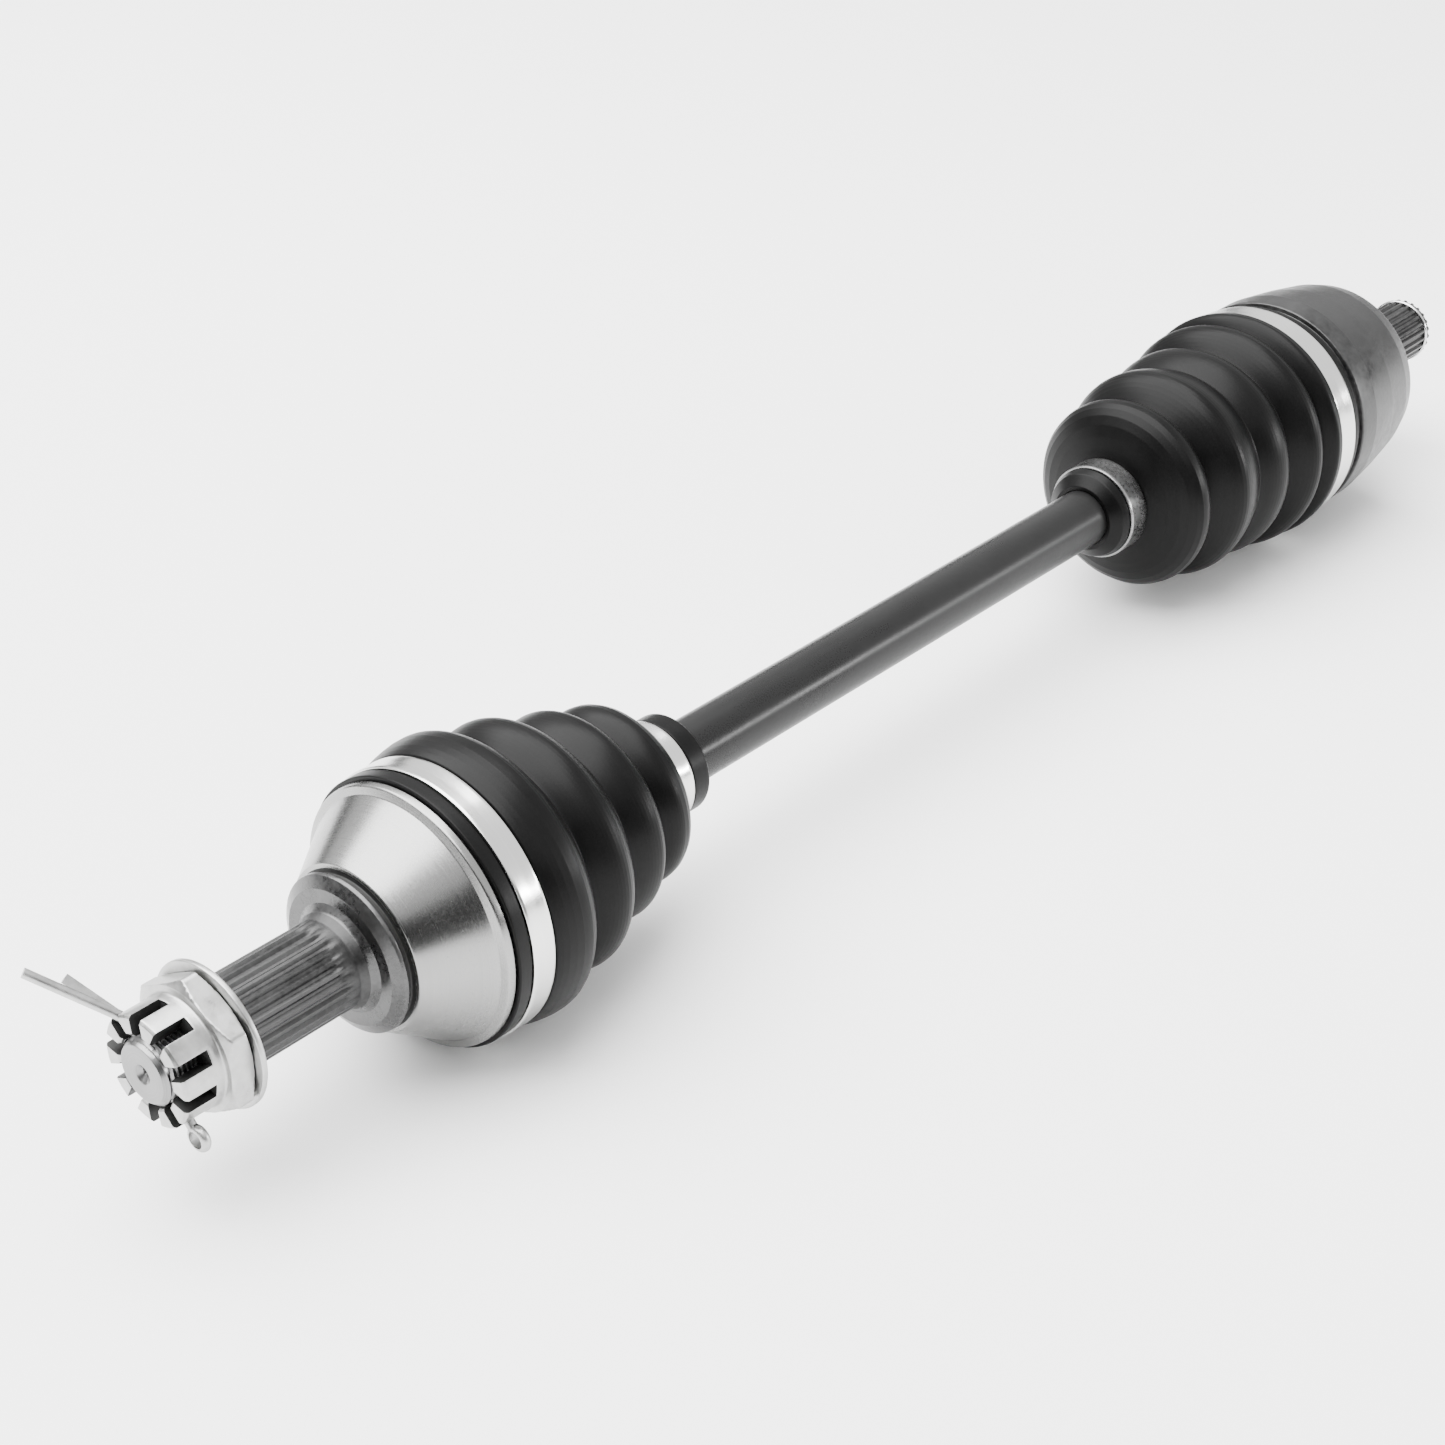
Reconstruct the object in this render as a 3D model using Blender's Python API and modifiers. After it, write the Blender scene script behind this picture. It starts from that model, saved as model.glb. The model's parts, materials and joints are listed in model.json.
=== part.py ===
"""CV axle: a half-shaft with a fixed ball joint at the wheel end and a plunging ball joint at the gearbox end.

The axle lies along X, with the wheel (outboard) end at -X and the gearbox (inboard) end at +X.
The origin is on the axle's line, halfway along it. Outlines are in millimetres, as pairs of
(distance along +X from the joint centre, radius), and run from +X to -X down the outer side.
"""

import math

import bmesh
import bpy
from mathutils import Matrix, Vector

MM = 0.001
SEGMENTS = 24  # flats round each turned piece, the same all along, so that neighbours stay parallel
GAP = 0.3  # clearance between touching pieces, mm

# Joint centres, in metres
OUTBOARD_CENTRE = Vector((-0.222, 0, 0))
INBOARD_CENTRE = Vector((0.247, 0, 0))

# Ball joints, mm
BALLS = 6
SHAFT_RADIUS = 10.5
SHAFT_END_RADIUS = 9.5
SHAFT_END = 13.0  # how far the shaft runs past each joint centre
RACE_HALF_WIDTH = 10.5
CAGE_HALF_WIDTH = 11.0
CLIP_WIDTH = 1.6
OUTBOARD_BALL = 7.0
OUTBOARD_BALL_CIRCLE = 24.0
OUTBOARD_TRACK = 9.3
OUTBOARD_TRACK_ARC = (-44, 62)  # degrees from the ball plane, deep end first
OUTBOARD_BORE = 26.0
INBOARD_BALL = 7.5
INBOARD_BALL_CIRCLE = 26.0
INBOARD_TRACK = 8.8
INBOARD_TRACK_SPAN = (-36, 26)
INBOARD_BORE = 28.0

# Wheel end, mm from the outboard joint centre
BELL_RADIUS = 40.9
STUB_RADIUS = 14.0
THREAD_RADIUS = 10.0
THREAD_END = -103.0
NUT_FACE = -81.2
NUT_HEX_END = -88.5
NUT_TOP = -102.0
NUT_ACROSS_FLATS = 38.0
CASTLE_RADIUS = 16.9
CASTLE_SLOTS = 10
SLOT_WIDTH = 4.4
SLOT_DEPTH = 10.0
PIN_STATION = -98.2
PIN_WIRE = 0.9
PIN_DIRECTION = Vector((0, 0.681, 0.732)).normalized()  # the way the split legs leave the nut

# Gearbox end, mm from the inboard joint centre
CUP_RADIUS = 40.2
CUP_MOUTH = -34.0
CUP_FLOOR = 30.0
CUP_BACK = 35.4
INNER_STUB_RADIUS = 12.6
INNER_STUB_END = 93.8


def clear_scene():
    for obj in list(bpy.data.objects):
        bpy.data.objects.remove(obj, do_unlink=True)


def new_collection(name):
    collection = bpy.data.collections.new(name)
    bpy.context.scene.collection.children.link(collection)
    return collection


def principled(name, colour, roughness, metallic):
    material = bpy.data.materials.new(name)
    material.use_nodes = True
    shader = material.node_tree.nodes["Principled BSDF"]
    shader.inputs["Base Color"].default_value = (*colour, 1)
    shader.inputs["Roughness"].default_value = roughness
    shader.inputs["Metallic"].default_value = metallic
    return material


clear_scene()
PARTS = new_collection("cv_axle")
CUTTERS = new_collection("cutters")
MATERIALS = {
    "machined_steel": principled("machined_steel", (0.62, 0.62, 0.61), 0.35, 1.0),
    "satin_steel": principled("satin_steel", (0.20, 0.20, 0.20), 0.45, 0.9),
    "black_shaft": principled("black_shaft", (0.03, 0.03, 0.03), 0.35, 0.3),
    "boot_rubber": principled("boot_rubber", (0.012, 0.012, 0.012), 0.5, 0.0),
    "clamp_steel": principled("clamp_steel", (0.75, 0.75, 0.74), 0.25, 1.0),
    "zinc_steel": principled("zinc_steel", (0.70, 0.70, 0.68), 0.35, 1.0),
    "bearing_steel": principled("bearing_steel", (0.50, 0.50, 0.50), 0.2, 1.0),
}


def link_part(obj, material):
    PARTS.objects.link(obj)
    obj.data.materials.clear()
    obj.data.materials.append(MATERIALS[material])
    obj.data.shade_smooth()
    obj.data.set_sharp_from_angle(angle=math.radians(32))
    return obj


def link_cutter(obj):
    CUTTERS.objects.link(obj)
    obj.hide_render = True
    obj.display_type = "WIRE"
    return obj


def evaluated_mesh(obj):
    """The object's mesh with its modifiers or its curve bevel made real, its loose caps welded."""
    bpy.context.scene.collection.objects.link(obj)
    graph = bpy.context.evaluated_depsgraph_get()
    mesh = bpy.data.meshes.new_from_object(obj.evaluated_get(graph))
    bpy.data.objects.remove(obj, do_unlink=True)
    work = bmesh.new()
    work.from_mesh(mesh)
    bmesh.ops.remove_doubles(work, verts=work.verts, dist=1e-6)
    work.to_mesh(mesh)
    work.free()
    return mesh


def turned_mesh(name, outline, closed):
    """A solid of revolution about local Z from an outline of (station, radius) in mm."""
    profile = bpy.data.meshes.new(name)
    edges = [(i, i + 1) for i in range(len(outline) - 1)]
    if closed:
        edges.append((len(outline) - 1, 0))
    profile.from_pydata([(r * MM, 0, x * MM) for x, r in outline], edges, [])
    obj = bpy.data.objects.new(name, profile)
    screw = obj.modifiers.new("turn", "SCREW")
    screw.axis = "Z"
    screw.steps = SEGMENTS
    screw.render_steps = SEGMENTS
    screw.use_merge_vertices = True
    screw.merge_threshold = 0.00001
    return evaluated_mesh(obj)


def along_axle(centre):
    """Turns local +Z to +X, with a flat and not an edge at the bottom."""
    half_flat = Matrix.Rotation(math.pi / SEGMENTS, 4, "Z")
    return Matrix.Translation(centre) @ Matrix.Rotation(math.pi / 2, 4, "Y") @ half_flat


def turned(name, centre, outline, material, closed=False):
    obj = bpy.data.objects.new(name, turned_mesh(name, outline, closed))
    obj.matrix_world = along_axle(centre)
    return link_part(obj, material)


def ring(name, centre, span, radii, material):
    """A plain ring between two stations and two radii, mm."""
    (low, high), (inner, outer) = sorted(span), sorted(radii)
    outline = [(high, outer), (low, outer), (low, inner), (high, inner)]
    return turned(name, centre, outline, material, closed=True)


def arc(radius, first, last, steps):
    """Points on a circle about the joint centre, at angles in degrees from the ball plane."""
    angles = [math.radians(first + (last - first) * i / steps) for i in range(steps + 1)]
    return [(radius * math.sin(a), radius * math.cos(a)) for a in angles]


def boolean(obj, cutter, operation="DIFFERENCE"):
    modifier = obj.modifiers.new(cutter.name, "BOOLEAN")
    modifier.operation = operation
    modifier.solver = "EXACT"
    modifier.object = cutter


def tube_mesh(name, points, radius, resolution):
    """A tube of that radius in metres along points in metres, with filled caps."""
    curve = bpy.data.curves.new(name, "CURVE")
    curve.dimensions = "3D"
    curve.bevel_depth = radius
    curve.bevel_resolution = resolution
    curve.use_fill_caps = True
    spline = curve.splines.new("POLY")
    spline.points.add(len(points) - 1)
    for point, place in zip(spline.points, points):
        point.co = (*place, 1)
    return evaluated_mesh(bpy.data.objects.new(name, curve))


def tube_cutter(name, points, radius):
    return link_cutter(bpy.data.objects.new(name, tube_mesh(name, points, radius * MM, 3)))


def box_cutter(name, size, matrix):
    mesh = bpy.data.meshes.new(name)
    work = bmesh.new()
    bmesh.ops.create_cube(work, size=1)
    bmesh.ops.scale(work, vec=[s * MM for s in size], verts=work.verts)
    work.to_mesh(mesh)
    work.free()
    obj = bpy.data.objects.new(name, mesh)
    obj.matrix_world = matrix
    return link_cutter(obj)


def prism(name, sides, radius, span, centre):
    """A straight prism along X between two stations, mm, as an unlinked object."""
    mesh = bpy.data.meshes.new(name)
    work = bmesh.new()
    depth = (span[1] - span[0]) * MM
    bmesh.ops.create_cone(
        work, cap_ends=True, segments=sides, radius1=radius * MM, radius2=radius * MM, depth=depth
    )
    work.to_mesh(mesh)
    work.free()
    obj = bpy.data.objects.new(name, mesh)
    middle = centre + Vector((sum(span) / 2 * MM, 0, 0))
    obj.matrix_world = Matrix.Translation(middle) @ Matrix.Rotation(math.pi / 2, 4, "Y")
    return obj


def ball_angle(index):
    """Balls are numbered from the one on +Y, counter-clockwise seen from the gearbox end."""
    return 2 * math.pi * index / BALLS


def outward(angle):
    return Vector((0, math.cos(angle), math.sin(angle)))


def make_balls(side, centre, circle, radius):
    names = []
    for index in range(BALLS):
        mesh = bpy.data.meshes.new(f"{side}_ball")
        work = bmesh.new()
        bmesh.ops.create_icosphere(work, subdivisions=2, radius=radius * MM)
        work.to_mesh(mesh)
        work.free()
        obj = bpy.data.objects.new(f"{side}_ball_{index + 1}", mesh)
        obj.location = centre + outward(ball_angle(index)) * circle * MM
        link_part(obj, "bearing_steel")
        names.append(obj.name)
    return names


def make_race(side, centre, radius, cutters):
    outline = [(RACE_HALF_WIDTH, SHAFT_END_RADIUS + GAP)]
    edge = math.degrees(math.asin(RACE_HALF_WIDTH / radius))
    outline += arc(radius, edge, -edge, 4)
    outline += [(-RACE_HALF_WIDTH, SHAFT_END_RADIUS + GAP)]
    race = turned(f"{side}_inner_race", centre, outline, "bearing_steel", closed=True)
    for cutter in cutters:
        boolean(race, cutter)


def make_cage(side, centre, radii, ball):
    inner, outer = radii
    outer_edge = math.degrees(math.asin(CAGE_HALF_WIDTH / outer))
    inner_edge = math.degrees(math.asin(CAGE_HALF_WIDTH / inner))
    outline = arc(outer, outer_edge, -outer_edge, 4) + arc(inner, -inner_edge, inner_edge, 4)
    cage = turned(f"{side}_cage", centre, outline, "bearing_steel", closed=True)
    for index in range(BALLS // 2):
        size = (2 * (ball + GAP), 4 * outer, 2 * (ball + 1.6))
        place = Matrix.Translation(centre) @ Matrix.Rotation(ball_angle(index), 4, "X")
        boolean(cage, box_cutter(f"{side}_window_cutter_{index + 1}", size, place))


def make_clip(name, centre, span, radii, gap_direction):
    """A spring ring with a 4 mm break."""
    clip = ring(name, centre, span, radii, "bearing_steel")
    turn = Vector((0, 1, 0)).rotation_difference(gap_direction).to_matrix().to_4x4()
    middle = Vector((sum(span) / 2, 0, 0)) + gap_direction * sum(radii) / 2
    place = Matrix.Translation(centre + middle * MM) @ turn
    boolean(clip, box_cutter(f"{name}_break", (8, 8, 4), place))


def make_clamp(name, centre, span, radii, ear_height):
    """A band clamp with one crimped ear on the far lower side."""
    clamp = ring(name, centre, span, radii, "clamp_steel")
    away = Vector((0, 0.73, -0.68)).normalized()
    turn = Vector((0, 1, 0)).rotation_difference(away).to_matrix().to_4x4()
    middle = Vector((sum(span) / 2, 0, 0)) + away * (radii[0] + 0.4 + ear_height / 2)
    width = abs(span[1] - span[0]) - 1.0
    place = Matrix.Translation(centre + middle * MM) @ turn
    boolean(clamp, box_cutter(f"{name}_ear", (width, ear_height, 5.0), place), "UNION")


def make_shaft():
    """The bar, thinner where it enters each inner race, with a groove for each race clip."""
    span = (INBOARD_CENTRE.x - OUTBOARD_CENTRE.x) / MM
    clip = RACE_HALF_WIDTH + GAP / 2
    groove = SHAFT_END_RADIUS - 1.2
    half = [
        (SHAFT_END, 0),
        (SHAFT_END, SHAFT_END_RADIUS - 0.8),
        (clip + CLIP_WIDTH + GAP, SHAFT_END_RADIUS - 0.3),
        (clip + CLIP_WIDTH + GAP, groove),
        (clip, groove),
        (clip, SHAFT_END_RADIUS),
        (-13.0, SHAFT_END_RADIUS),
        (-16.0, SHAFT_RADIUS),
    ]
    other = [(-x - span, r) for x, r in reversed(half)]
    turned("shaft_bar", INBOARD_CENTRE, half + other, "black_shaft")


def make_race_clips():
    start = RACE_HALF_WIDTH + GAP
    radii = (SHAFT_END_RADIUS - 0.9, SHAFT_END_RADIUS + 1.1)
    top = Vector((0, 0, 1))
    make_clip("outboard_race_circlip", OUTBOARD_CENTRE, (-start - CLIP_WIDTH, -start), radii, top)
    make_clip("inboard_race_circlip", INBOARD_CENTRE, (start, start + CLIP_WIDTH), radii, top)


def outboard_tracks():
    first, last = OUTBOARD_TRACK_ARC
    cutters = []
    for index in range(BALLS):
        direction = outward(ball_angle(index))
        points = [
            OUTBOARD_CENTRE + (Vector((x, 0, 0)) + direction * r) * MM
            for x, r in arc(OUTBOARD_BALL_CIRCLE, first, last, 10)
        ]
        cutters.append(tube_cutter(f"outboard_track_{index + 1}", points, OUTBOARD_TRACK))
    return cutters


def inboard_tracks():
    cutters = []
    for index in range(BALLS):
        side = outward(ball_angle(index)) * INBOARD_BALL_CIRCLE
        ends = [Vector((x, 0, 0)) + side for x in INBOARD_TRACK_SPAN]
        points = [INBOARD_CENTRE + end * MM for end in ends]
        cutters.append(tube_cutter(f"inboard_track_{index + 1}", points, INBOARD_TRACK))
    return cutters


def make_bell(tracks):
    """Bell, collar, stub and thread in one forging, cut with the six ball tracks."""
    floor = -22.0
    deep = -math.degrees(math.asin(-floor / OUTBOARD_BORE))
    outline = [(floor, 0)]
    outline += arc(OUTBOARD_BORE, deep, 13, 6)
    outline += [
        (7.5, 30.0),  # mouth
        (7.5, BELL_RADIUS),
        (-6.1, BELL_RADIUS),
        (-6.3, 41.6),  # rim
        (-8.6, 41.2),
        (-9.6, 38.6),
        (-28.2, 26.2),  # end of the cone
        (-28.4, 23.4),  # groove behind the collar
        (-30.6, 23.4),
        (-30.8, 24.9),  # collar
        (-32.0, 24.6),
        (-34.0, 21.2),
        (-34.0, 16.8),  # hub seat
        (-36.0, 15.0),
        (-38.5, STUB_RADIUS),
        (-77.2, STUB_RADIUS),
        (-78.4, 13.4),
        (-78.4, THREAD_RADIUS),
        (THREAD_END + 1.0, THREAD_RADIUS),
        (THREAD_END, THREAD_RADIUS - 1.0),
        (THREAD_END, 0),
    ]
    bell = turned("outboard_bell", OUTBOARD_CENTRE, outline, "machined_steel")
    for track in tracks:
        boolean(bell, track)
    reach = PIN_DIRECTION * 2 * THREAD_RADIUS * MM
    middle = OUTBOARD_CENTRE + Vector((PIN_STATION * MM, 0, 0))
    boolean(bell, tube_cutter("pin_hole", [middle - reach, middle + reach], 2.5))


def make_nut():
    """Hexagon and castellated collar in one piece."""
    corner = NUT_ACROSS_FLATS / math.sqrt(3)
    nut = prism("castle_nut", 6, corner, (NUT_HEX_END, NUT_FACE), OUTBOARD_CENTRE)
    link_part(nut, "zinc_steel")
    castle_span = (NUT_TOP, NUT_HEX_END + 2.0)
    castle = prism("castle_collar", SEGMENTS, CASTLE_RADIUS, castle_span, OUTBOARD_CENTRE)
    boolean(nut, link_cutter(castle), "UNION")
    bore_span = (NUT_TOP - 2.0, NUT_FACE + 2.0)
    bore = prism("nut_bore", SEGMENTS, THREAD_RADIUS + 2 * GAP, bore_span, OUTBOARD_CENTRE)
    boolean(nut, link_cutter(bore))
    first = math.atan2(PIN_DIRECTION.z, PIN_DIRECTION.y)
    station = Vector(((NUT_TOP - 1.0 + SLOT_DEPTH / 2) * MM, 0, 0))
    for index in range(CASTLE_SLOTS // 2):
        angle = first + 2 * math.pi * index / CASTLE_SLOTS
        place = Matrix.Translation(OUTBOARD_CENTRE + station) @ Matrix.Rotation(angle, 4, "X")
        size = (SLOT_DEPTH + 2.0, 3 * CASTLE_RADIUS, SLOT_WIDTH)
        boolean(nut, box_cutter(f"slot_{index + 1}", size, place))


def make_cotter_pin():
    """One wire folded to an eye, both halves through the thread's hole, and the legs splayed."""
    across = Vector((1, 0, 0)).cross(PIN_DIRECTION)
    outboard = Vector((-1, 0, 0))
    base = OUTBOARD_CENTRE + Vector((PIN_STATION * MM, 0, 0))
    side = PIN_WIRE + 0.05
    bend, eye_middle, eye_radius = THREAD_RADIUS, -22.0, 2.6

    def leg(sign, length, lean):
        turn = math.radians(lean)
        steps = [bend + 1.2, bend + 1.2 + length]
        straight = [(0.0, -18.5), (0.0, bend)]
        leaning = [((s - bend) * math.sin(turn), bend + (s - bend) * math.cos(turn)) for s in steps]
        return [
            base + (outboard * out + PIN_DIRECTION * up + across * sign * side) * MM
            for out, up in straight + leaning
        ]

    start = math.asin(side / eye_radius)
    turns = [start + (2 * math.pi - 2 * start) * i / 12 for i in range(13)]
    eye = [
        base
        + (PIN_DIRECTION * (eye_middle + eye_radius * math.cos(a)) + across * eye_radius * math.sin(a)) * MM
        for a in turns
    ]
    path = leg(1, 33.4, 34.7)[::-1] + eye + leg(-1, 22.8, 24.3)
    obj = bpy.data.objects.new("cotter_pin", tube_mesh("cotter_pin", path, PIN_WIRE * MM, 1))
    link_part(obj, "zinc_steel")


def make_outboard_boot():
    """Four folds, smaller towards the shaft."""
    bell_fit = BELL_RADIUS + GAP
    shaft_fit = SHAFT_RADIUS + GAP
    outline = [
        (105.0, shaft_fit),
        (105.0, 12.2),
        (103.5, 16.4),
        (96.7, 16.4),
        (96.5, 15.5),  # seat of the small clamp
        (87.0, 15.5),
        (85.5, 21.0),
        (82.0, 27.5),
        (79.0, 29.6),  # fold 4
        (75.0, 29.6),
        (69.5, 27.2),
        (63.5, 34.3),  # fold 3
        (59.5, 34.3),
        (51.0, 32.5),
        (42.5, 40.7),  # fold 2
        (38.5, 40.7),
        (30.0, 37.2),
        (22.0, 45.5),  # fold 1
        (17.0, 45.5),
        (8.2, 43.4),
        (7.8, 42.2),  # seat of the large clamp
        (-1.1, 42.2),
        (-1.3, 42.8),
        (-5.8, 42.8),
        (-5.8, bell_fit),
        (8.8, bell_fit),
        (17.8, 43.1),
        (21.2, 43.1),
        (30.0, 34.7),
        (39.2, 38.3),
        (41.8, 38.3),
        (51.0, 30.0),
        (60.2, 31.9),
        (62.8, 31.9),
        (69.5, 24.8),
        (75.6, 27.3),
        (78.2, 27.3),
        (80.2, 25.8),
        (83.4, 19.8),
        (85.0, shaft_fit),
    ]
    turned("outboard_boot", OUTBOARD_CENTRE, outline, "boot_rubber", closed=True)


def make_inboard_boot():
    """Four folds and a bead, larger towards the cup."""
    cup_fit = CUP_RADIUS + GAP
    shaft_fit = SHAFT_RADIUS + GAP
    outline = [
        (-19.4, cup_fit),
        (-19.4, 43.2),
        (-22.6, 43.2),
        (-22.8, 42.6),  # seat of the large clamp
        (-34.5, 42.6),
        (-34.8, 45.1),  # bead
        (-38.0, 45.3),
        (-42.5, 40.8),
        (-47.5, 44.0),  # fold 4
        (-51.5, 44.0),
        (-59.5, 36.6),
        (-67.0, 40.8),  # fold 3
        (-71.0, 40.8),
        (-80.0, 36.8),
        (-90.0, 39.9),  # fold 2
        (-96.0, 39.9),
        (-105.0, 30.0),
        (-110.5, 34.6),  # fold 1
        (-116.5, 35.6),
        (-121.5, 30.0),
        (-124.5, 22.0),
        (-126.2, 16.5),
        (-136.4, 16.5),  # seat of the small clamp
        (-136.6, 17.0),
        (-139.5, 15.8),
        (-142.5, 12.2),
        (-142.5, shaft_fit),
        (-124.4, shaft_fit),
        (-122.6, 21.2),
        (-119.9, 28.6),
        (-115.7, 33.3),
        (-111.3, 32.4),
        (-105.0, 27.4),
        (-95.2, 37.5),
        (-90.4, 37.5),
        (-80.0, 34.4),
        (-70.6, 38.4),
        (-67.4, 38.4),
        (-59.5, 34.2),
        (-51.0, 41.6),
        (-48.0, 41.6),
        (-42.5, 38.2),
        (-38.0, 42.2),
        (-35.6, cup_fit),
    ]
    turned("inboard_boot", INBOARD_CENTRE, outline, "boot_rubber", closed=True)


def make_cup(tracks):
    """Cup and splined stub in one forging, cut with six straight ball tracks."""
    clip_groove = INNER_STUB_RADIUS - 1.5
    outline = [
        (INNER_STUB_END, 0),
        (INNER_STUB_END, INNER_STUB_RADIUS - 1.4),
        (INNER_STUB_END - 1.4, INNER_STUB_RADIUS),
        (INNER_STUB_END - 3.2, INNER_STUB_RADIUS),
        (INNER_STUB_END - 3.2, clip_groove),
        (INNER_STUB_END - 5.4, clip_groove),
        (INNER_STUB_END - 5.4, INNER_STUB_RADIUS),
        (CUP_BACK + 5.0, INNER_STUB_RADIUS),
        (CUP_BACK + 3.6, 17.0),
        (CUP_BACK, 17.0),
        (CUP_BACK, 33.0),
        (34.0, 35.8),
        (26.0, 38.3),
        (10.0, 41.2),
        (-6.0, 43.3),  # shoulder
        (-16.0, 43.3),
        (-16.2, 41.4),  # groove behind the boot
        (-18.9, 41.4),
        (-19.1, CUP_RADIUS),
        (CUP_MOUTH, CUP_RADIUS),
        (CUP_MOUTH, 31.5),
        (-29.5, INBOARD_BORE),
        (-27.2, INBOARD_BORE),
        (-27.2, 29.8),  # groove of the stop ring
        (-25.4, 29.8),
        (-25.4, INBOARD_BORE),
        (CUP_FLOOR, INBOARD_BORE),
        (CUP_FLOOR, 0),
    ]
    cup = turned("inboard_cup", INBOARD_CENTRE, outline, "satin_steel")
    for track in tracks:
        boolean(cup, track)


def group(body, centre, names):
    """Parents the pieces of one moving body to an empty at its joint centre."""
    empty = bpy.data.objects.new(f"{body}_joint", None)
    empty.empty_display_size = 0.02
    empty.location = centre
    PARTS.objects.link(empty)
    bpy.context.view_layer.update()
    for name in names:
        obj = bpy.data.objects[name]
        obj.parent = empty
        obj.matrix_parent_inverse = empty.matrix_world.inverted()


def main():
    outboard_cutters, inboard_cutters = outboard_tracks(), inboard_tracks()
    make_shaft()
    make_race_clips()

    make_race("outboard", OUTBOARD_CENTRE, 20.0, outboard_cutters)
    make_cage("outboard", OUTBOARD_CENTRE, (20.8, 25.2), OUTBOARD_BALL)
    outer = make_balls("outboard", OUTBOARD_CENTRE, OUTBOARD_BALL_CIRCLE, OUTBOARD_BALL)
    make_bell(outboard_cutters)
    make_outboard_boot()
    make_clamp("outboard_large_clamp", OUTBOARD_CENTRE, (-0.8, 7.6), (42.5, 43.5), 2.2)
    make_clamp("outboard_small_clamp", OUTBOARD_CENTRE, (88.0, 96.0), (15.8, 16.8), 2.2)
    ring("hub_washer", OUTBOARD_CENTRE, (-80.9, -78.9), (THREAD_RADIUS + GAP, 22.3), "zinc_steel")
    make_nut()
    make_cotter_pin()

    make_race("inboard", INBOARD_CENTRE, 21.4, inboard_cutters)
    make_cage("inboard", INBOARD_CENTRE, (22.1, 27.4), INBOARD_BALL)
    inner = make_balls("inboard", INBOARD_CENTRE, INBOARD_BALL_CIRCLE, INBOARD_BALL)
    make_cup(inboard_cutters)
    make_inboard_boot()
    make_clamp("inboard_large_clamp", INBOARD_CENTRE, (-34.2, -23.2), (42.9, 44.0), 2.2)
    make_clamp("inboard_small_clamp", INBOARD_CENTRE, (-136.1, -126.6), (16.8, 17.7), 2.2)
    down = Vector((0, 0, -1))
    make_clip("stop_ring", INBOARD_CENTRE, (-26.9, -25.7), (27.2, 29.5), down)
    clip_span = (INNER_STUB_END - 5.1, INNER_STUB_END - 3.5)
    clip_radii = (INNER_STUB_RADIUS - 1.2, INNER_STUB_RADIUS + 0.6)
    make_clip("stub_circlip", INBOARD_CENTRE, clip_span, clip_radii, down)

    middle_balls = (1, 2, 4, 5)
    group("outboard_ball_a", OUTBOARD_CENTRE, [outer[0]])
    group("outboard_cage", OUTBOARD_CENTRE, ["outboard_cage"] + [outer[i] for i in middle_balls])
    group("outboard_ball_b", OUTBOARD_CENTRE, [outer[3]])
    wheel_end = ["outboard_bell", "outboard_boot", "outboard_large_clamp"]
    wheel_end += ["hub_washer", "castle_nut", "cotter_pin"]
    group("wheel_end", OUTBOARD_CENTRE, wheel_end)
    group("inboard_ball_a", INBOARD_CENTRE, [inner[0]])
    group("inboard_cage", INBOARD_CENTRE, ["inboard_cage"] + [inner[i] for i in middle_balls])
    group("inboard_ball_b", INBOARD_CENTRE, [inner[3]])
    group("inboard_boot", INBOARD_CENTRE, ["inboard_boot"])
    cup_end = ["inboard_cup", "inboard_large_clamp", "stop_ring", "stub_circlip"]
    group("gearbox_end", INBOARD_CENTRE, cup_end)


main()
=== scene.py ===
"""Looks of the CV axle: fine turned and forged surfaces, rubber boots, band clamps and their materials.

Outlines are in millimetres, as (distance along +X from a joint centre, radius, corner rounding).
"""

import json
import math

import bmesh
import bpy
from mathutils import Matrix, Vector


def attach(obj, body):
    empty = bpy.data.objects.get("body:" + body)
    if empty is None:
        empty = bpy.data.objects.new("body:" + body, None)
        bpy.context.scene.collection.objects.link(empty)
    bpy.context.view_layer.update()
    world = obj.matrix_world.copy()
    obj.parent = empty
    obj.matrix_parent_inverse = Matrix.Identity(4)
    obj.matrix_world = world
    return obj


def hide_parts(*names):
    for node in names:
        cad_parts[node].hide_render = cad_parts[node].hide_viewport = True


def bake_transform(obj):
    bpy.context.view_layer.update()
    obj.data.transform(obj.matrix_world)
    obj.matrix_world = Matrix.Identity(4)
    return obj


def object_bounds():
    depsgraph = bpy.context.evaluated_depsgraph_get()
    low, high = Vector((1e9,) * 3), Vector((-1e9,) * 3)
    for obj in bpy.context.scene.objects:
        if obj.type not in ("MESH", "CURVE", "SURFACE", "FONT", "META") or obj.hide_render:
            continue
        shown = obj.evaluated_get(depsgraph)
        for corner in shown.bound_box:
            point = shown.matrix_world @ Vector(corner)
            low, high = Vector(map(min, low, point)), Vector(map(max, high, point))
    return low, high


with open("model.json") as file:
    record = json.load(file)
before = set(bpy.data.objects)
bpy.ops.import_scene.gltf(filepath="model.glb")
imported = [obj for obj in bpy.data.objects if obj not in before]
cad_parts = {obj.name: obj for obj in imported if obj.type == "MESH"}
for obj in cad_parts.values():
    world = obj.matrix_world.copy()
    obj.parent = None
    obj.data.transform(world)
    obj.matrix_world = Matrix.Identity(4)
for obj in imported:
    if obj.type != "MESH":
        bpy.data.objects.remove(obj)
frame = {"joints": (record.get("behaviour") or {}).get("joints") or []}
CAD_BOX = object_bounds()

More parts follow.
